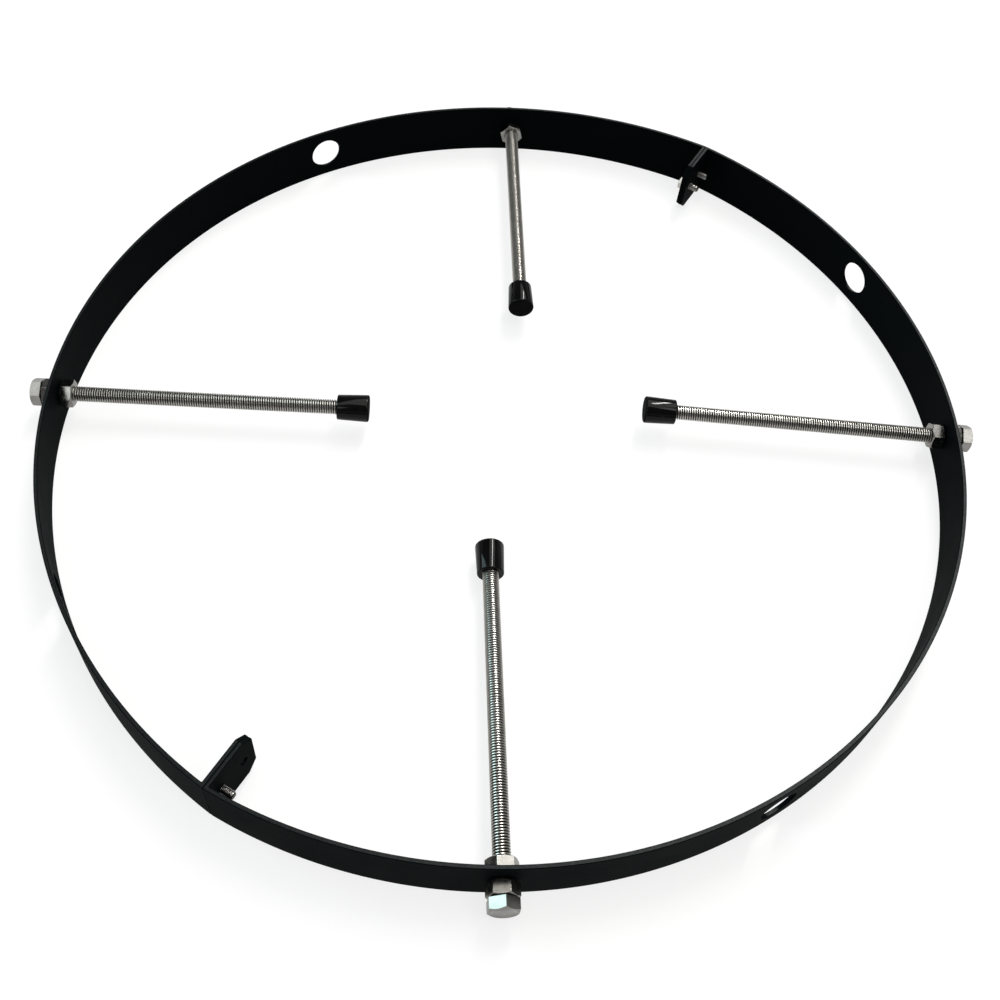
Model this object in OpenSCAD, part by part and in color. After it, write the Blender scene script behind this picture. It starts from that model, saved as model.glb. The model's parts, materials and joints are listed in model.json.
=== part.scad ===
// Split clamping hoop.
// Two bent flat-steel halves meet at two flanged joints and are held by hex screws.
// Four fully threaded bolts reach inwards through the band. Each is held by a nut outside and a
// nut inside the band, and carries a soft cap on its inner end. Turning a bolt moves its cap.
//
// Origin: the hoop's centre, on the plane that its lower rim rests on. +Z is up, and
// +X, +Y are to the right and to the rear. Lengths are millimetres, angles degrees.

/* [Hoop] */
// Outer radius, measured along the line through the two joints
joint_radius = 250; // [200:1:400]
// Distance of each half's bend centre beyond the joint line
bend_offset = 13; // [0:0.5:25]
// Height of the flat bar
band_height = 32; // [26:0.5:60]
// Thickness of the flat bar
band_thickness = 2; // [1.5:0.1:4]
// Direction of the rear joint, from +X
joint_angle = 60; // [45:1:75]

/* [Flanges] */
// Length of a flange, inwards from the hoop's outer face
flange_length = 29.5; // [28:0.5:60]
// Chamfer on the two inner corners of a flange
flange_chamfer = 5.5; // [0.5:0.5:10]
// Inner screw hole, from the flange's inner end
inner_hole_inset = 7; // [6:0.5:9]
// Outer screw hole, from the hoop's outer face
outer_hole_inset = 8; // [7.5:0.5:12]

/* [Side holes] */
// Diameter of the four plain holes in the band
side_hole_diameter = 19; // [6:0.5:22]
// First plain hole of a half, about its bend centre, from the joint line
first_hole_angle = 61.5; // [55:0.5:75]
// Second plain hole of a half
second_hole_angle = 147.4; // [140:0.1:155]

/* [Clamping bolts] */
// First bolt of a half, about its bend centre, from the joint line
first_bolt_angle = 32.6; // [20:0.1:45]
// Second bolt of a half
second_bolt_angle = 119; // [100:0.5:128]
// Thread's outer diameter
bolt_diameter = 8; // [5:0.5:10]
// Length under the head
bolt_length = 170; // [60:5:180]
// Width of the bolt's head across flats
head_flats = 13; // [11:0.5:18]
// Height of the bolt's head
head_height = 5.3; // [3:0.1:8]
// Width of the nuts across flats
nut_flats = 13; // [12:0.5:18]
// Height of the nuts
nut_height = 6.5; // [3:0.1:9]
// Space between the outer nut and the bolt's head
head_gap = 0.5; // [0.2:0.1:8]

/* [Set of each bolt] */
// Rear bolt: lean to the side, from square to the band
rear_lean = -0.1; // [-2:0.1:2]
// Left bolt: lean to the side
left_lean = 1.4; // [-2:0.1:2]
// Front bolt: lean to the side
front_lean = 0.2; // [-2:0.1:2]
// Right bolt: lean to the side
right_lean = -1.5; // [-2:0.1:2]
// Rear bolt: droop of its inner end, from level
rear_droop = 0; // [-2:0.1:2]
// Left bolt: droop of its inner end
left_droop = 0; // [-2:0.1:2]
// Front bolt: droop of its inner end
front_droop = 2; // [-2:0.1:2]
// Right bolt: droop of its inner end
right_droop = 0; // [-2:0.1:2]

/* [Caps] */
// Length of a cap
cap_length = 17; // [10:0.5:40]
// Outer diameter at the cap's open end
cap_root_diameter = 13.4; // [12:0.1:20]
// Outer diameter at the cap's closed end
cap_tip_diameter = 14.6; // [12:0.1:24]
// Thickness of the cap's closed end
cap_end = 2; // [1.5:0.1:5]
// Rounding of the cap's edges
cap_edge = 1; // [0.2:0.1:1.5]

/* [Joint screws] */
// Thread's outer diameter
screw_diameter = 4; // [3:0.5:6]
// Length under the head
screw_length = 10; // [8:1:16]
// Width of the head across flats
screw_flats = 7; // [6:0.5:9]
// Height of the head
screw_head_height = 2.8; // [2:0.1:5]

/* [Fits] */
// Radial play of a bolt in its nuts and its cap
thread_play = 0.05; // [0.02:0.01:0.1]
// Radial play of a bolt in the band
band_play = 0.5; // [0.2:0.1:1.5]
// Radial play of a joint screw in the left half's flanges
screw_play = 0.25; // [0.1:0.05:0.5]
// Space between a bolt's end and the bottom of its cap
tip_gap = 0.2; // [0.1:0.1:1]
// Least space between a nut and the band
seat_play = 0.05; // [0.02:0.01:0.3]

/* [Hidden] */
$fn = 96;
// Radius of each half's outer face, about its own bend centre
bend_radius = sqrt(joint_radius * joint_radius + bend_offset * bend_offset);
// Height of the bolts, the holes and the screws above the lower rim
mid_height = band_height / 2;
// Places of the screw holes along the joint line, from the hoop's centre
flange_end = joint_radius - flange_length;
inner_hole_x = flange_end + inner_hole_inset;
outer_hole_x = joint_radius - outer_hole_inset;
// A nut's flat face clears the band when the nut turns: by its tilt, and inside by the band's curve
nut_corner = nut_flats / cos(30) / 2;
tilt = max([for (side = [rear_lean, left_lean, front_lean, right_lean])
    for (down = [rear_droop, left_droop, front_droop, right_droop]) norm([side, down])]);
outer_seat = nut_corner * sin(tilt) + seat_play;
inner_seat = outer_seat + nut_corner * nut_corner / (2 * (bend_radius - band_thickness));
// Places along a bolt: 0 is the band's outer face, and positive is outwards
inner_nut_x = -band_thickness - inner_seat - nut_height;
head_x = outer_seat + nut_height + head_gap;
bolt_tip_x = head_x - bolt_length;
cap_tip_x = bolt_tip_x - tip_gap - cap_end;
// Each station: turn of its half, angle about the bend centre, lean, droop, and how far the head,
// the outer nut and the inner nut are turned from having a flat on top
REAR = [0, first_bolt_angle, rear_lean, rear_droop, 15, 5, 15];
LEFT = [0, second_bolt_angle, left_lean, left_droop, 35, 10, 20];
FRONT = [180, first_bolt_angle, front_lean, front_droop, 26, 8, -10];
RIGHT = [180, second_bolt_angle, right_lean, right_droop, 25, 20, 15];
// How far a joint screw's head is turned from having a flat on top
SCREW_TURN = 30;
// Edge broken at the end of a thread, as a share of its diameter
END_BREAK = 0.12;
// Radius of a hexagon's flat end face, as a share of half its width across flats
FACE_SHARE = 0.95;
// Depth to which a cutter runs past the face it cuts
CUT = 5;
BLACK = [0.11, 0.12, 0.12];
ZINC = [0.74, 0.73, 0.69];
VINYL = [0.03, 0.03, 0.03];

// ---- Placing ----

// A half's frame: its band lies at positive Y, and its joint line is the X axis.
module in_half(half_turn) {
    rotate([0, 0, joint_angle + half_turn]) children();
}

// A point on the band's outer face, with +X outwards and square to the band.
module on_band(angle) {
    translate([0, -bend_offset, mid_height])
        rotate([0, 0, angle])
            translate([bend_radius, 0, 0]) children();
}

// A bolt's frame: +X runs outwards along the bolt, from the band's outer face.
module at_station(station) {
    in_half(station[0]) on_band(station[1]) rotate([0, -station[3], station[2]]) children();
}

// ---- Shapes shared by several parts ----

// A rod along +X, from x = start.
module rod(diameter, start, length) {
    translate([start, 0, 0]) rotate([0, 90, 0]) cylinder(d = diameter, h = length);
}

// A threaded shank along +X with a broken edge at its start; drawn at the thread's crests.
module shank(diameter, start, length) {
    edge = diameter * END_BREAK;
    translate([start, 0, 0]) rotate([0, 90, 0]) {
        cylinder(d1 = diameter - 2 * edge, d2 = diameter, h = edge);
        translate([0, 0, edge]) cylinder(d = diameter, h = length - edge);
    }
}

// A hexagon along +X from x = start, turned from having a flat on top, with its corners
// turned off at the outer end, and at the start as well if both is true.
module hexagon(flats, start, height, turn, both) {
    corner = flats / cos(30) / 2;
    face = flats / 2 * FACE_SHARE;
    outside = 1.1 * corner;
    slope = (outside - face) * tan(30);
    translate([start, 0, 0]) rotate([0, 90, 0]) intersection() {
        rotate([0, 0, turn + 30]) cylinder(r = corner, h = height, $fn = 6);
        rotate_extrude() polygon([
            [0, 0],
            [both ? face : outside, 0],
            [outside, both ? slope : 0],
            [outside, height - slope],
            [face, height],
            [0, height]
        ]);
    }
}

// ---- Hoop ----

// The arc of flat bar, from one joint to the other.
module band() {
    intersection() {
        translate([0, -bend_offset, 0]) difference() {
            cylinder(r = bend_radius, h = band_height, $fn = 360);
            translate([0, 0, -CUT])
                cylinder(r = bend_radius - band_thickness, h = band_height + 2 * CUT, $fn = 360);
        }
        translate([-2 * joint_radius, 0, 0])
            cube([4 * joint_radius, 2 * joint_radius, band_height]);
    }
}

// The bar's end, bent inwards along the joint line, with its two inner corners cut off.
module flange() {
    root = joint_radius - band_thickness / 2;
    translate([0, band_thickness, 0]) rotate([90, 0, 0]) linear_extrude(band_thickness)
        polygon([
            [root, 0],
            [root, band_height],
            [flange_end + flange_chamfer, band_height],
            [flange_end, band_height - flange_chamfer],
            [flange_end, flange_chamfer],
            [flange_end + flange_chamfer, 0]
        ]);
}

// A hole through a flange, at x along the joint line.
module flange_hole(x, diameter) {
    translate([x, band_thickness + CUT, mid_height]) rotate([90, 0, 0])
        cylinder(d = diameter, h = band_thickness + 2 * CUT);
}

module half_hoop(first_station, second_station, screw_hole_diameter) {
    color(BLACK) difference() {
        in_half(first_station[0]) difference() {
            union() {
                band();
                flange();
                mirror([1, 0, 0]) flange();
            }
            for (x = [inner_hole_x, outer_hole_x, -inner_hole_x, -outer_hole_x])
                flange_hole(x, screw_hole_diameter);
            for (angle = [first_hole_angle, second_hole_angle])
                on_band(angle) rod(side_hole_diameter, -band_thickness - CUT, band_thickness + 2 * CUT);
        }
        for (station = [first_station, second_station])
            at_station(station)
                rod(bolt_diameter + 2 * band_play, -band_thickness - CUT, band_thickness + 2 * CUT);
    }
}

// Clearance holes: the joint screws' heads seat on this half's flanges.
module left_half_hoop() half_hoop(REAR, LEFT, screw_diameter + 2 * screw_play);

// Tapped holes: the joint screws end in this half's flanges.
module right_half_hoop() half_hoop(FRONT, RIGHT, screw_diameter);

// ---- Clamping bolts ----

module clamping_bolt(station) {
    color(ZINC) at_station(station) {
        shank(bolt_diameter, bolt_tip_x, bolt_length + head_height / 2);
        hexagon(head_flats, head_x, head_height, station[4], false);
    }
}

// A soft cap with a blind socket for the bolt's end; it widens a little towards its closed end.
module cap(station) {
    color(VINYL) at_station(station) translate([cap_tip_x, 0, 0]) rotate([0, 90, 0])
        difference() {
            rotate_extrude() polygon([
                [0, 0],
                [cap_tip_diameter / 2 - cap_edge, 0],
                [cap_tip_diameter / 2, cap_edge],
                [cap_root_diameter / 2, cap_length - cap_edge],
                [cap_root_diameter / 2 - cap_edge, cap_length],
                [0, cap_length]
            ]);
            translate([0, 0, cap_end])
                cylinder(d = bolt_diameter + 2 * thread_play, h = cap_length);
        }
}

// A nut whose inner end is at x along the bolt.
module nut(station, x, turn) {
    color(ZINC) at_station(station) difference() {
        hexagon(nut_flats, x, nut_height, turn, true);
        rod(bolt_diameter + 2 * thread_play, x - CUT, nut_height + 2 * CUT);
    }
}

module outer_nut(station) nut(station, outer_seat, station[5]);
module inner_nut(station) nut(station, inner_nut_x, station[6]);

module rear_bolt() clamping_bolt(REAR);
module left_bolt() clamping_bolt(LEFT);
module front_bolt() clamping_bolt(FRONT);
module right_bolt() clamping_bolt(RIGHT);

module rear_cap() cap(REAR);
module left_cap() cap(LEFT);
module front_cap() cap(FRONT);
module right_cap() cap(RIGHT);

module rear_outer_nut() outer_nut(REAR);
module left_outer_nut() outer_nut(LEFT);
module front_outer_nut() outer_nut(FRONT);
module right_outer_nut() outer_nut(RIGHT);

module rear_inner_nut() inner_nut(REAR);
module left_inner_nut() inner_nut(LEFT);
module front_inner_nut() inner_nut(FRONT);
module right_inner_nut() inner_nut(RIGHT);

// ---- Joint screws ----

// A hex screw at x along the joint line; its head seats on the left half's flange.
module joint_screw(x) {
    color(ZINC) in_half(0) translate([x, band_thickness, mid_height]) rotate([0, 0, 90]) {
        shank(screw_diameter, -screw_length, screw_length + screw_head_height / 2);
        hexagon(screw_flats, 0, screw_head_height, SCREW_TURN, false);
    }
}

module rear_joint_inner_screw() joint_screw(inner_hole_x);
module rear_joint_outer_screw() joint_screw(outer_hole_x);
module front_joint_outer_screw() joint_screw(-outer_hole_x);

left_half_hoop();
right_half_hoop();
rear_bolt();
left_bolt();
front_bolt();
right_bolt();
rear_cap();
left_cap();
front_cap();
right_cap();
rear_outer_nut();
left_outer_nut();
front_outer_nut();
right_outer_nut();
rear_inner_nut();
left_inner_nut();
front_inner_nut();
right_inner_nut();
rear_joint_inner_screw();
rear_joint_outer_screw();
front_joint_outer_screw();
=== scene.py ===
"""A split clamping hoop: two bent steel halves, three joint screws, and four threaded bolts, each
with two nuts and a soft cap.

Lengths are metres in the CAD's frame: the hoop lies on z = 0 and its axis is Z.
"""
import json
import math

import bpy
from mathutils import Matrix, Vector


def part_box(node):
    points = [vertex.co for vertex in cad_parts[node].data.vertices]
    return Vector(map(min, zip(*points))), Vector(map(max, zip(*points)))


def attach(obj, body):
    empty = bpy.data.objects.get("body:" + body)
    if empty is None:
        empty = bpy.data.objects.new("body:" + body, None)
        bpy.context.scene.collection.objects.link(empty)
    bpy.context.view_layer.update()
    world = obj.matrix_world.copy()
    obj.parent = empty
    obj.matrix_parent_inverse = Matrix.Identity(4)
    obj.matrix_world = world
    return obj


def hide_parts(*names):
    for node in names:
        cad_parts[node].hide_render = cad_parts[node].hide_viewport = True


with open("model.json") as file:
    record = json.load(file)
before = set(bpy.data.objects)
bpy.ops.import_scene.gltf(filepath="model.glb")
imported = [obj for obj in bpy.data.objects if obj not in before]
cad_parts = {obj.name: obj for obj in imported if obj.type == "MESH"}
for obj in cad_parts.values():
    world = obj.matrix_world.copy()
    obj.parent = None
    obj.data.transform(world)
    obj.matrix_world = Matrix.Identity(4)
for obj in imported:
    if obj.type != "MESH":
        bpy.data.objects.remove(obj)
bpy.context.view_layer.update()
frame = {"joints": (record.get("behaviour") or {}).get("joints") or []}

# ---- Sizes, as the CAD has them ----

# A half's arc ends JOINT_RADIUS from the hoop's centre, and its own centre is BEND_OFFSET behind
# the joint line.
JOINT_RADIUS = 0.250
BEND_OFFSET = 0.013
BAND_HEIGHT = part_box("left_half_hoop")[1].z
BAND_THICKNESS = 0.002
JOINT_ANGLE = math.radians(60)
BEND_RADIUS = math.hypot(JOINT_RADIUS, BEND_OFFSET)
BEND_START = math.asin(BEND_OFFSET / BEND_RADIUS)
ARC_LENGTH = (math.pi - 2 * BEND_START) * BEND_RADIUS

FLANGE_LENGTH = 0.0295
FLANGE_CHAMFER = 0.0055
INNER_HOLE_INSET = 0.007
OUTER_HOLE_INSET = 0.008
BAR_LENGTH = ARC_LENGTH + 2 * FLANGE_LENGTH

SIDE_HOLE_RADIUS = 0.0095
SIDE_HOLE_ANGLES = (math.radians(61.5), math.radians(147.4))
BOLT_HOLE_RADIUS = 0.0045
BOLT_ANGLES = (math.radians(32.6), math.radians(119))

BOLT_RADIUS = 0.004
BOLT_LENGTH = 0.170
BOLT_PITCH = 0.00125
HEX_FLATS = 0.013
HEAD_HEIGHT = 0.0053
NUT_HEIGHT = 0.0065

SCREW_RADIUS = 0.0020
SCREW_PLAY = 0.00025
SCREW_LENGTH = 0.010
SCREW_PITCH = 0.0007
SCREW_FLATS = 0.007
SCREW_HEAD_HEIGHT = 0.0028

CAP_LENGTH = 0.017
CAP_ROOT_RADIUS = 0.0067
CAP_TIP_RADIUS = 0.0073
CAP_BORE = BOLT_RADIUS + 0.00005
CAP_SOCKET_END = 0.002
CAP_PAST_BOLT = 0.0022

# Places along a bolt, outwards from the band's outer face
HEAD_GAP = 0.0005
OUTER_NUT_PLACE = 0.000377
INNER_NUT_PLACE = -0.008991
HEAD_PLACE = OUTER_NUT_PLACE + NUT_HEIGHT + HEAD_GAP
CAP_TIP_PLACE = HEAD_PLACE - BOLT_LENGTH - CAP_PAST_BOLT

# How many degrees the head, the outer nut and the inner nut are turned from a flat on top
HEX_TURNS = {
    "rear": (15, 5, 15),
    "left": (35, 10, 20),
    "front": (26, 8, -10),
    "right": (25, 20, 15),
}
SCREW_TURN = 30

# ---- Sizes and counts that only the looks need ----

# The bar's grid: each hole lies in a block of CELLS by CELLS, with EDGE_ROWS rows of faces above
# and below it. The middle rows come closer together on a flange, whose corners are cut off.
CELLS = 14
EDGE_ROWS = 3
COLUMN_GAP = 0.004
SIDE_BLOCK_HALF = 0.0105
BOLT_BLOCK_HALF = 0.007
SCREW_BLOCK_HALF = 0.0035
FLANGE_BLOCK_HALF = SIDE_BLOCK_HALF * 0.8
BLOCK_CORNER = math.radians(225)
BAR_EDGE = 0.00045

# One turn of a thread, as (share of the pitch, share of the depth below the crest). The depth is in
# pitches, and the rod's tip is a share of its radius.
THREAD_PROFILE = [(0.0, 1.0), (0.18, 1.0), (0.36, 0.10), (0.46, 0.0), (0.74, 0.0), (0.84, 0.10)]
THREAD_DEPTH = 0.58
THREAD_TIP = 0.725
THREAD_SIDES = 40
ROD_IN_HEAD = 0.001
WELD_STEPS = 1e8  # to the metre: points that round to one step are one

# A hexagon's corners are turned off at CORNER_SLOPE, down to a round end of FACE_SHARE its width
SIDE_POINTS = 12
FACE_SHARE = 0.95
CORNER_SLOPE = math.radians(30)
WASHER_SHARE = 0.9
DISH_SHARE = 0.80
DISH = ((1.0, 0.0), (0.93, 0.00018), (0.5, 0.00022))  # (share of its radius, depth)
NUT_SINK = 0.0006
NUT_MOUTH = 0.0004
NUT_BITE = 0.0002
NUT_EDGE = 0.00018

CAP_SIDES = 64
CAP_EDGE = 0.0012
CAP_LIP = 0.0006
CAP_MOUTH = 0.0004
CAP_DISH = 0.0001
CAP_DISH_SHARE = 0.55
CLOSED_END = 0.0008  # the length that is matt

# What "crest" says of a smooth head: a bolt's is as dark as a nut, a screw's as bright as a crest,
# so a screw's head carries the crests' painted highlight
BOLT_HEAD_CREST = 1.1
SCREW_HEAD_CREST = 1.0

COAT_COLORS = (0.0014, 0.0026, 0.0030, 1), (0.0026, 0.0044, 0.0050, 1)
# The paler colour of the painted sheen on the band's upward rims, as an overhead lamp would give
# them
RIM_SHEEN_COLOR = (0.062, 0.066, 0.066, 1)
ZINC_COLORS = (0.27, 0.26, 0.24, 1), (0.36, 0.355, 0.34, 1)
# Thread colours: the crests are painted brighter than the zinc as a painted highlight, and the
# grooves nearly black as painted shade
CREST_HIGHLIGHT_COLORS = (0.50, 0.48, 0.44, 1), (0.62, 0.61, 0.58, 1)
GROOVE_SHADE_COLOR = (0.016, 0.015, 0.012, 1)
VINYL_COLORS = (0.0020, 0.0020, 0.0023, 1), (0.0035, 0.0035, 0.004, 1)
FLOOR_COLOR = (0.25, 0.25, 0.25, 1)
WHITE = (1, 1, 1, 1)

FLOOR_SIZE = 14
FLOOR_IN_METAL = 0.6  # its strength as glossy surfaces mirror it
# Each as (from, to, strength there, strength there)
FLOOR_LIFT = (1.5, 4.0, 0.78, 1.0)  # by the distance from the hoop's centre
WALL_LIGHT = (0.05, 0.45, 0.5, 0.12)  # by how far up the wall is

# Name, direction, width and height in radians, radiance and colour: a long narrow key inside a dim
# panel, both above and behind, then the soft boxes that the nuts' and heads' facets mirror
LAMP_DISTANCE = 6.0
LAMPS = (
    ("key", (0.21, 0.53, 0.82), (0.05, 0.54), 56, (1.0, 0.99, 0.965)),
    ("panel", (0.12, 0.34, 0.93), (0.61, 1.25), 1.9, (1.0, 0.99, 0.96)),
    ("front_right", (0.40, -0.32, 0.86), (0.25, 0.52), 3.7, (1.0, 0.99, 0.97)),
    ("card_right", (0.405, 0.253, 0.880), (0.22, 0.36), 1.2, (1.0, 0.99, 0.97)),
    ("card_left", (-0.34, -0.64, 0.71), (0.26, 0.26), 2.0, (0.97, 1.0, 1.0)),
    ("overhead_left", (-0.34, -0.22, 0.91), (0.20, 0.30), 1.6, (0.97, 1.0, 1.0)),
    ("cool_side", (-0.80, 0.32, 0.50), (0.26, 0.62), 4, (0.72, 0.98, 1.0)),
)


# ---- Camera ----

def add_camera():
    """The photo's view, as solved from the hoop's outline."""
    data = bpy.data.cameras.new("camera")
    data.sensor_width = 36
    data.lens = 41.7
    data.shift_x = 0.0243
    data.shift_y = -0.0659
    camera = bpy.data.objects.new("camera", data)
    camera.location = (-0.0360, -0.3857, 0.5037)
    camera.rotation_euler = [math.radians(a) for a in (37.216, -3.366, 1.468)]
    bpy.context.scene.collection.objects.link(camera)
    bpy.context.scene.camera = camera


# ---- Node materials ----

class Nodes:
    """Builds the nodes of a material or a world with short calls."""

    def __init__(self, owner, shader="Principled BSDF"):
        owner.use_nodes = True
        self.owner = owner
        self.tree = owner.node_tree
        self.shader = self.tree.nodes[shader]

    def add(self, kind, settings=None, **inputs):
        node = self.tree.nodes.new(kind)
        for key, value in (settings or {}).items():
            setattr(node, key, value)
        for key, value in inputs.items():
            self.feed(node, key.replace("_", " "), value)
        return node

    def feed(self, node, socket, value):
        """Links the socket to value, or sets it where value is a plain number or colour."""
        if isinstance(value, bpy.types.NodeSocket):
            self.tree.links.new(value, node.inputs[socket])
        else:
            node.inputs[socket].default_value = value

    def place(self):
        return self.add("ShaderNodeTexCoord").outputs["Object"]

    def attribute(self, name):
        return self.add("ShaderNodeAttribute", {"attribute_name": name}).outputs["Fac"]

    def axis(self, vector, name):
        return self.add("ShaderNodeSeparateXYZ", Vector=vector).outputs[name]

    def noise(self, scale, detail, roughness):
        node = self.add("ShaderNodeTexNoise", Vector=self.place(), Scale=scale, Detail=detail,
                        Roughness=roughness)
        return node.outputs["Fac"]

    def span(self, value, low, high, to_low=0, to_high=1):
        """Maps low to high onto to_low to to_high, and holds what lies outside at the ends."""
        node = self.add("ShaderNodeMapRange", Value=value, From_Min=low, From_Max=high,
                        To_Min=to_low, To_Max=to_high)
        return node.outputs["Result"]

    def mix(self, factor, first, second):
        node = self.add("ShaderNodeMix", {"data_type": "RGBA"})
        for socket, value in zip((0, 6, 7), (factor, first, second)):
            self.feed(node, socket, value)
        return node.outputs[2]

    def math(self, operation, first, second):
        node = self.add("ShaderNodeMath", {"operation": operation})
        self.feed(node, 0, first)
        self.feed(node, 1, second)
        return node.outputs[0]

    def bump(self, height, distance, strength, normal=None):
        node = self.add("ShaderNodeBump", Height=height, Distance=distance, Strength=strength)
        if normal:
            self.feed(node, "Normal", normal)
        return node.outputs["Normal"]

    def finish(self, **inputs):
        """Feeds the shader and hands back the material or world."""
        for key, value in inputs.items():
            self.feed(self.shader, key.replace("_", " "), value)
        return self.owner


def powder_coat():
    """Satin black powder coat: fine orange peel, cloudiness, and a speckled painted sheen on the
    upward rims, stronger towards +X.
    """
    n = Nodes(bpy.data.materials.new("powder_coat"))
    peel = n.noise(1400, detail=2.0, roughness=0.45)
    waves = n.noise(420, detail=2.0, roughness=0.5)
    cloud = n.noise(28, detail=4.0, roughness=0.6)
    color = n.mix(n.span(cloud, 0.35, 0.7), *COAT_COLORS)
    # Painted sheen: upward faces are paled, more so towards +X where the lamps stand, and speckled
    facing_up = n.axis(n.add("ShaderNodeNewGeometry").outputs["Normal"], "Z")
    rims = n.span(facing_up, 0.92, 0.99)
    more_at_right = n.span(n.axis(n.place(), "X"), -0.14, 0.14, 0.25, 1)
    speckle = n.span(n.noise(700, detail=4.0, roughness=0.7), 0.35, 0.65, 0.6, 1)
    painted_sheen = n.math("MULTIPLY", rims, n.math("MULTIPLY", more_at_right, speckle))
    wavy = n.bump(waves, distance=0.00012, strength=0.5)
    return n.finish(Base_Color=n.mix(painted_sheen, color, RIM_SHEEN_COLOR),
                    Roughness=n.span(cloud, 0.3, 0.7, 0.60, 0.70),
                    Normal=n.bump(peel, distance=0.00006, strength=0.8, normal=wavy),
                    Specular_IOR_Level=0.02)


def zinc(name, threaded=False):
    """Bright zinc plate: fine grain, cloudy brightness and small dull spots.

    On a thread the grooves are painted nearly black as painted shade, and the crests painted
    brighter as a painted highlight, but duller than the head.
    """
    n = Nodes(bpy.data.materials.new(name))
    grain = n.noise(2600, detail=3.0, roughness=0.6)
    cloud = n.noise(160, detail=3.0, roughness=0.55)
    patches = n.span(cloud, 0.3, 0.7)
    color = n.mix(patches, *ZINC_COLORS)
    if threaded:
        # Painted highlight on the crests and painted shade in the grooves, by how far each point
        # stands out of its groove
        crest = n.attribute("crest")
        bolt_head = n.span(crest, SCREW_HEAD_CREST, BOLT_HEAD_CREST)
        color = n.mix(bolt_head, n.mix(patches, *CREST_HIGHLIGHT_COLORS), color)
        color = n.mix(n.span(crest, 0.2, 0.9), GROOVE_SHADE_COLOR, color)
        rough = n.span(crest, 0.9, BOLT_HEAD_CREST, 0.32, 0.18)
    else:
        rough = n.span(n.noise(420, detail=3.0, roughness=0.6), 0.3, 0.7, 0.12, 0.24)
    uneven = n.bump(cloud, distance=0.00015, strength=0.12)
    return n.finish(Base_Color=color, Roughness=rough, Metallic=1.0,
                    Normal=n.bump(grain, distance=0.00003, strength=0.4, normal=uneven))


def vinyl():
    """Glossy black dipped vinyl, slightly wavy as a soft moulding is, with a matt closed end."""
    n = Nodes(bpy.data.materials.new("black_vinyl"))
    waves = n.noise(150, detail=2.0, roughness=0.4)
    return n.finish(Base_Color=n.mix(n.span(waves, 0.35, 0.65), *VINYL_COLORS),
                    Roughness=n.span(n.attribute("closed_end"), 0.0, 1.0, 0.07, 1.0),
                    Normal=n.bump(waves, distance=0.00025, strength=0.3),
                    Specular_IOR_Level=0.17)


# ---- Mesh helpers ----

def add_piece(name, skin, body, material, place, sharp, replaced=None):
    """A new object of (verts, faces), which rides on a body and stands for a CAD node.

    Edges that turn by more than sharp, in degrees, are shaded sharp.
    """
    verts, faces = skin
    mesh = bpy.data.meshes.new(name)
    mesh.from_pydata([tuple(place @ Vector(v)) for v in verts], [], faces)
    mesh.validate()
    mesh.polygons.foreach_set("use_smooth", [True] * len(mesh.polygons))
    mesh.set_sharp_from_angle(angle=math.radians(sharp))
    mesh.materials.append(material)
    piece = bpy.data.objects.new(name, mesh)
    bpy.context.scene.collection.objects.link(piece)
    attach(piece, body)
    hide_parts(replaced or body)
    return piece


def add_bevel(piece, width, segments, angle, clamp=True):
    """Rounds the edges that turn by more than angle, in degrees."""
    edge = piece.modifiers.new("edge", "BEVEL")
    edge.width = width
    edge.segments = segments
    edge.use_clamp_overlap = clamp
    edge.limit_method = "ANGLE"
    edge.angle_limit = math.radians(angle)
    edge.harden_normals = True


def store(piece, name, values, rest):
    """Stores a number at each point of the mesh, for its material: values, and rest after them."""
    attribute = piece.data.attributes.new(name, "FLOAT", "POINT")
    for k, item in enumerate(attribute.data):
        item.value = values[k] if k < len(values) else rest


def grid_faces(rows, columns, around=False):
    """Quads between neighbouring rows of points; around joins the last point to the first."""
    faces = []
    for r in range(rows - 1):
        for c in range(columns if around else columns - 1):
            following = (c + 1) % columns
            faces.append((r * columns + c, r * columns + following,
                          (r + 1) * columns + following, (r + 1) * columns + c))
    return faces


def rings_to_mesh(rings, looped=False):
    """A closed skin over rings of equally many points, looped from last to first or capped."""
    count = len(rings[0])
    verts = [point for ring in rings for point in ring]
    faces = grid_faces(len(rings), count, around=True)
    last = len(verts) - count
    if looped:
        faces += [(last + c, last + (c + 1) % count, (c + 1) % count, c) for c in range(count)]
    else:
        faces += [tuple(reversed(range(count))), tuple(range(last, last + count))]
    return verts, faces


def joined(*parts):
    """Several (verts, faces) as one."""
    verts, faces = [], []
    for part_verts, part_faces in parts:
        shift = len(verts)
        verts += part_verts
        faces += [tuple(i + shift for i in face) for face in part_faces]
    return verts, faces


def welded(verts, faces):
    """The mesh with its coinciding points merged, without the faces that this closes up."""
    kept, numbers, merged = [], {}, []
    for point in verts:
        key = tuple(round(c * WELD_STEPS) for c in point)
        if key not in numbers:
            numbers[key] = len(kept)
            kept.append(point)
        merged.append(numbers[key])
    outlines = []
    for face in faces:
        corners = [merged[i] for i in face]
        corners = [c for k, c in enumerate(corners) if c != corners[k - 1]]
        if len(corners) > 2:
            outlines.append(tuple(corners))
    return kept, outlines


def circle(x, radius, count):
    """Points round the X axis."""
    angles = [2 * math.pi * k / count for k in range(count)]
    return [(x, radius * math.cos(a), radius * math.sin(a)) for a in angles]


def rounded_ring(ring, x, radius):
    """The ring's points, moved to x and onto a circle of that radius round the X axis."""
    return [(x, radius * y / math.hypot(y, z), radius * z / math.hypot(y, z)) for _, y, z in ring]


def arc(center, radius, start, end, steps):
    """(x, radius) points of a rounded corner in a lathe profile, angles in degrees."""
    angles = [math.radians(start + (end - start) * k / steps) for k in range(steps + 1)]
    return [(center[0] + radius * math.cos(a), center[1] + radius * math.sin(a)) for a in angles]


# ---- Hoop ----

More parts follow.
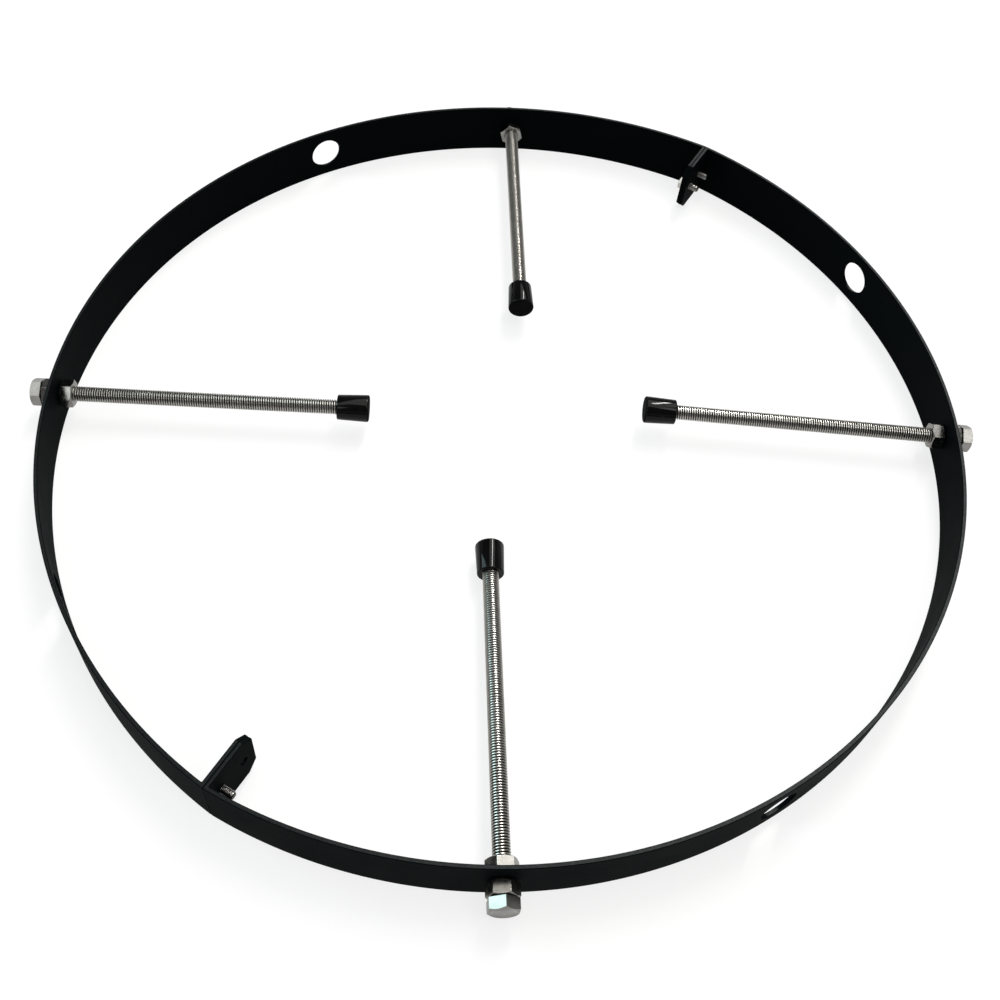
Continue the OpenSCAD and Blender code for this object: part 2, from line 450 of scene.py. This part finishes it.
def hoop_point(s, z):
    """A point of a half's outer face: s runs along the bar from one flange's end to the other's."""
    if s <= FLANGE_LENGTH:
        return (JOINT_RADIUS - FLANGE_LENGTH + s, 0, z)
    if s >= FLANGE_LENGTH + ARC_LENGTH:
        return (-JOINT_RADIUS + s - FLANGE_LENGTH - ARC_LENGTH, 0, z)
    angle = BEND_START + (s - FLANGE_LENGTH) / BEND_RADIUS
    return (BEND_RADIUS * math.cos(angle), BEND_RADIUS * math.sin(angle) - BEND_OFFSET, z)


def along_bar(angle):
    """Where a direction from the bend centre falls along the bar."""
    return FLANGE_LENGTH + (angle - BEND_START) * BEND_RADIUS


def bar_holes(screw_hole_radius):
    """Each hole's place along the bar, its radius and its block's half width, in order."""
    holes = [(along_bar(a), SIDE_HOLE_RADIUS, SIDE_BLOCK_HALF) for a in SIDE_HOLE_ANGLES]
    holes += [(along_bar(a), BOLT_HOLE_RADIUS, BOLT_BLOCK_HALF) for a in BOLT_ANGLES]
    for inset in (INNER_HOLE_INSET, FLANGE_LENGTH - OUTER_HOLE_INSET):
        holes += [(s, screw_hole_radius, SCREW_BLOCK_HALF) for s in (inset, BAR_LENGTH - inset)]
    return sorted(holes)


def fill_columns(columns, end):
    """Adds columns up to end, with one at each place where the bar is bent."""
    marks = [FLANGE_LENGTH, BAR_LENGTH - FLANGE_LENGTH, end]
    for mark in sorted(m for m in marks if columns[-1] < m <= end):
        first = columns[-1]
        steps = max(1, math.ceil((mark - first) / COLUMN_GAP))
        columns += [first + (mark - first) * k / steps for k in range(1, steps + 1)]


def bar_columns(holes):
    """Places of the grid's columns along the bar, and the first and last column of each block."""
    columns, blocks = [0.0], []
    for place, _, half in holes:
        fill_columns(columns, place - half)
        blocks.append((len(columns) - 1, len(columns) - 1 + CELLS))
        columns += [place - half + 2 * half * k / CELLS for k in range(1, CELLS + 1)]
    fill_columns(columns, BAR_LENGTH)
    return columns, blocks


def column_heights(s):
    """Heights of a column's points; the corners of a flange are cut off near its end."""
    to_end = min(s, BAR_LENGTH - s)
    half = SIDE_BLOCK_HALF if to_end > FLANGE_LENGTH else FLANGE_BLOCK_HALF
    inner_rows = [BAND_HEIGHT / 2 - half + 2 * half * k / CELLS for k in range(CELLS + 1)]
    cut = max(0.0, FLANGE_CHAMFER - to_end)
    low = [cut + (inner_rows[0] - cut) * k / EDGE_ROWS for k in range(EDGE_ROWS)]
    return low + inner_rows + [BAND_HEIGHT - z for z in reversed(low)]


def half_hoop_mesh(screw_hole_radius):
    """The bar's outer face as a grid of (s, z) points, with a ring of points round each hole."""
    holes = bar_holes(screw_hole_radius)
    columns, blocks = bar_columns(holes)
    verts = [(s, z) for s in columns for z in column_heights(s)]
    faces = []
    rows = CELLS + 1 + 2 * EDGE_ROWS
    low, high = EDGE_ROWS, EDGE_ROWS + CELLS
    for c in range(len(columns) - 1):
        beside_hole = any(first <= c < last for first, last in blocks)
        for r in range(rows - 1):
            if not (beside_hole and low <= r < high):
                corner = c * rows + r
                faces.append((corner, corner + rows, corner + rows + 1, corner + 1))

    for (place, radius, _), (first, last) in zip(holes, blocks):
        edge = [c * rows + low for c in range(first, last)]
        edge += [last * rows + r for r in range(low, high)]
        edge += [c * rows + high for c in range(last, first, -1)]
        edge += [first * rows + r for r in range(high, low, -1)]
        rim = len(verts)
        for k in range(len(edge)):
            angle = BLOCK_CORNER + 2 * math.pi * k / len(edge)
            verts.append((place + radius * math.cos(angle),
                          BAND_HEIGHT / 2 + radius * math.sin(angle)))
            following = (k + 1) % len(edge)
            faces.append((edge[k], edge[following], rim + following, rim + k))
    return [hoop_point(s, z) for s, z in verts], faces


def add_half_hoop(side, turn, screw_hole_radius, coat):
    """A half's outer face, thickened inwards and with its edges rounded."""
    place = Matrix.Rotation(JOINT_ANGLE + turn, 4, "Z")
    bar = add_piece(side + "_half_bar", half_hoop_mesh(screw_hole_radius), "frame",
                    coat, place, sharp=35, replaced=side + "_half_hoop")
    wall = bar.modifiers.new("wall", "SOLIDIFY")
    wall.thickness = BAND_THICKNESS
    wall.offset = -1
    wall.use_even_offset = True
    add_bevel(bar, BAR_EDGE, segments=3, angle=40, clamp=False)


# ---- Threads, hexagons and caps ----

def thread_mesh(radius, pitch, start, length):
    """A closed rod along +X from x = start, with a right-hand thread and a cone at its start."""
    depth = THREAD_DEPTH * pitch
    tip = radius * THREAD_TIP
    per_turn = len(THREAD_PROFILE)
    turns = math.ceil(length / pitch) + 2
    rows = range(-per_turn, turns * per_turn)
    verts = []
    for row in rows:
        share, drop = THREAD_PROFILE[row % per_turn]
        for k in range(THREAD_SIDES + 1):
            x = (row // per_turn + share + k / THREAD_SIDES) * pitch
            x = min(max(x, 0.0), length)
            r = min(radius - depth * drop, tip + x) if x < length else radius - depth
            angle = 2 * math.pi * k / THREAD_SIDES
            verts.append((start + x, r * math.cos(angle), r * math.sin(angle)))
    faces = grid_faces(len(rows), THREAD_SIDES + 1)
    first = len(verts)
    last = first + THREAD_SIDES
    verts += circle(start, tip, THREAD_SIDES)
    verts += circle(start + length, radius - depth, THREAD_SIDES)
    faces += [tuple(reversed(range(first, last))), tuple(range(last, last + THREAD_SIDES))]
    return welded(verts, faces)


def mark_crests(piece, rod, radius, pitch, head_crest):
    """Stores how far each point of a thread stands out of its groove, from 0 to 1."""
    root = radius - THREAD_DEPTH * pitch
    crests = [(math.hypot(y, z) - root) / (radius - root) for _, y, z in rod[0]]
    store(piece, "crest", crests, head_crest)


def hexagon_rings(flats, start, height, turn, both_ends):
    """Rings of points for a hexagon along +X, its corners turned off at its far end or at both."""
    count = 6 * SIDE_POINTS
    side = math.pi / 3
    angles = [math.radians(turn) + side * k / SIDE_POINTS for k in range(count)]
    reach = [flats / 2 / math.cos(side * (k % SIDE_POINTS) / SIDE_POINTS - side / 2)
             for k in range(count)]
    face = flats / 2 * FACE_SHARE
    lost = [(r - face) * math.tan(CORNER_SLOPE) for r in reach]

    def ring(radii, xs):
        return [(x, r * math.cos(a), r * math.sin(a)) for x, r, a in zip(xs, radii, angles)]

    if both_ends:
        rings = [ring([face] * count, [start] * count), ring(reach, [start + x for x in lost])]
    else:
        rings = [ring(reach, [start] * count)]
    end = start + height
    return rings + [ring(reach, [end - x for x in lost]), ring([face] * count, [end] * count)]


def head_mesh(flats, start, height, turn):
    """A bolt's head: a shallow washer face under it, and a slight dish in its end."""
    rings = hexagon_rings(flats, start, height, turn, both_ends=False)
    washer = [(x, y * WASHER_SHARE, z * WASHER_SHARE) for x, y, z in rings[0]]
    radius = flats / 2 * DISH_SHARE
    dish = [rounded_ring(rings[-1], start + height - depth, radius * share)
            for share, depth in DISH]
    return rings_to_mesh([washer] + rings + dish)


def nut_mesh(flats, start, height, turn, bore):
    """A nut: corners turned off at both ends, and a countersunk bore."""
    rings = hexagon_rings(flats, start, height, turn, both_ends=True)
    end = start + height
    for x, radius in ((end, bore + NUT_MOUTH), (end - NUT_SINK, bore - NUT_BITE),
                      (start + NUT_SINK, bore - NUT_BITE), (start, bore + NUT_MOUTH)):
        rings.append(rounded_ring(rings[0], x, radius))
    return rings_to_mesh(rings, looped=True)


def cap_mesh():
    """A soft cap along +X from its closed end, which is wider than its rolled open end."""
    profile = [(CAP_DISH, CAP_TIP_RADIUS * CAP_DISH_SHARE)]
    profile += arc((CAP_EDGE, CAP_TIP_RADIUS - CAP_EDGE), CAP_EDGE, 180, 92, 6)
    profile += arc((CAP_LENGTH - CAP_LIP, CAP_ROOT_RADIUS - CAP_LIP), CAP_LIP, 88, 0, 6)
    profile += arc((CAP_LENGTH - CAP_MOUTH, CAP_BORE + CAP_MOUTH), CAP_MOUTH, 0, -90, 4)
    profile.append((CAP_SOCKET_END, CAP_BORE))
    return rings_to_mesh([circle(x, r, CAP_SIDES) for x, r in profile])


def station_matrix(side):
    """A bolt's frame: X outwards along the bolt, from the band's outer face, and Z up."""
    joint = next(j for j in frame["joints"] if j["name"] == side + "_travel")
    out = Vector(joint["axis"]).normalized()
    across = Vector((0, 0, 1)).cross(out).normalized()
    up = out.cross(across)
    matrix = Matrix((out, across, up)).transposed().to_4x4()
    matrix.translation = Vector(joint["pos_m"])
    return matrix


def add_bolt_set(side, rod, cap, rod_metal, nut_metal, soft):
    """One station's bolt, its two nuts and its cap."""
    place = station_matrix(side)
    head_turn, outer_turn, inner_turn = HEX_TURNS[side]
    head = head_mesh(HEX_FLATS, HEAD_PLACE, HEAD_HEIGHT, head_turn)
    bolt = add_piece(side + "_bolt_threaded", joined(rod, head), side + "_bolt",
                     rod_metal, place, sharp=30)
    mark_crests(bolt, rod, BOLT_RADIUS, BOLT_PITCH, BOLT_HEAD_CREST)
    for name, x, turn in (("outer", OUTER_NUT_PLACE, outer_turn),
                          ("inner", INNER_NUT_PLACE, inner_turn)):
        node = side + "_" + name + "_nut"
        nut = add_piece(node + "_hex", nut_mesh(HEX_FLATS, x, NUT_HEIGHT, turn, BOLT_RADIUS),
                        node, nut_metal, place, sharp=25)
        add_bevel(nut, NUT_EDGE, segments=2, angle=25)
    sleeve = add_piece(side + "_cap_vinyl", cap, side + "_cap", soft,
                       place @ Matrix.Translation((CAP_TIP_PLACE, 0, 0)), sharp=40)
    store(sleeve, "closed_end", [float(x < CLOSED_END) for x, _, _ in cap[0]], 0.0)


def add_joint_screw(name, reach, rod_metal):
    """A screw through both flanges: its head is on the left half's side."""
    rod = thread_mesh(SCREW_RADIUS, SCREW_PITCH, -SCREW_LENGTH, SCREW_LENGTH + ROD_IN_HEAD)
    head = head_mesh(SCREW_FLATS, 0, SCREW_HEAD_HEIGHT, SCREW_TURN)
    place = (Matrix.Rotation(JOINT_ANGLE, 4, "Z")
             @ Matrix.Translation((reach, BAND_THICKNESS, BAND_HEIGHT / 2))
             @ Matrix.Rotation(math.pi / 2, 4, "Z"))
    screw = add_piece(name + "_threaded", joined(rod, head), "frame", rod_metal, place,
                      sharp=30, replaced=name)
    mark_crests(screw, rod, SCREW_RADIUS, SCREW_PITCH, SCREW_HEAD_CREST)


# ---- Stage ----

def seen_rays(n):
    """1 for camera and transmission rays, and less for glossy ones: metal shows a greyer floor."""
    path = n.add("ShaderNodeLightPath")
    total = n.math("MULTIPLY", path.outputs["Is Glossy Ray"], FLOOR_IN_METAL)
    for name in ("Is Camera Ray", "Is Transmission Ray"):
        total = n.math("MAXIMUM", total, path.outputs[name])
    return total


def add_floor():
    """A pale floor, lifted to white where it is seen or mirrored, and more so far away."""
    bpy.ops.mesh.primitive_plane_add(size=FLOOR_SIZE, location=(0, 0, 0))
    floor = bpy.context.object
    floor.name = "floor"
    n = Nodes(bpy.data.materials.new("floor"))
    distance = n.add("ShaderNodeVectorMath", {"operation": "LENGTH"})
    n.feed(distance, 0, n.place())
    lift = n.span(distance.outputs["Value"], *FLOOR_LIFT)
    floor.data.materials.append(n.finish(
        Base_Color=FLOOR_COLOR, Roughness=1.0, Specular_IOR_Level=0.0, Emission_Color=WHITE,
        Emission_Strength=n.math("MULTIPLY", seen_rays(n), lift)))


def add_world():
    """Dim studio walls, paler near the horizon; the camera itself sees a white backdrop."""
    world = bpy.data.worlds.new("studio")
    bpy.context.scene.world = world
    n = Nodes(world, "Background")
    upward = n.axis(n.add("ShaderNodeTexCoord").outputs["Generated"], "Z")
    walls = n.span(upward, *WALL_LIGHT)
    seen = n.add("ShaderNodeLightPath").outputs["Is Camera Ray"]
    n.finish(Color=WHITE, Strength=n.math("MAXIMUM", walls, seen))


def add_lamp(name, direction, spread, radiance, color):
    """A soft box that faces the hoop's centre, and looks as wide and high as spread from there."""
    data = bpy.data.lights.new(name, "AREA")
    data.shape = "RECTANGLE"
    data.size, data.size_y = (LAMP_DISTANCE * angle for angle in spread)
    data.energy = radiance * math.pi * data.size * data.size_y
    data.color = color
    lamp = bpy.data.objects.new(name, data)
    lamp.location = Vector(direction).normalized() * LAMP_DISTANCE
    lamp.rotation_euler = Vector(direction).to_track_quat("Z", "Y").to_euler()
    bpy.context.scene.collection.objects.link(lamp)


# ---- The scene ----

add_camera()
bpy.context.scene.view_settings.view_transform = "Standard"
add_world()
add_floor()
for lamp_settings in LAMPS:
    add_lamp(*lamp_settings)

coat = powder_coat()
nut_zinc = zinc("bright_zinc")
bolt_zinc = zinc("threaded_zinc", threaded=True)
soft_vinyl = vinyl()

add_half_hoop("left", 0, SCREW_RADIUS + SCREW_PLAY, coat)
add_half_hoop("right", math.pi, SCREW_RADIUS, coat)

bolt_rod = thread_mesh(BOLT_RADIUS, BOLT_PITCH, HEAD_PLACE - BOLT_LENGTH,
                       BOLT_LENGTH + ROD_IN_HEAD)
bolt_cap = cap_mesh()
for side in HEX_TURNS:
    add_bolt_set(side, bolt_rod, bolt_cap, bolt_zinc, nut_zinc, soft_vinyl)

inner_screw = JOINT_RADIUS - FLANGE_LENGTH + INNER_HOLE_INSET
outer_screw = JOINT_RADIUS - OUTER_HOLE_INSET
add_joint_screw("rear_joint_inner_screw", inner_screw, bolt_zinc)
add_joint_screw("rear_joint_outer_screw", outer_screw, bolt_zinc)
add_joint_screw("front_joint_outer_screw", -outer_screw, bolt_zinc)

bpy.context.view_layer.update()
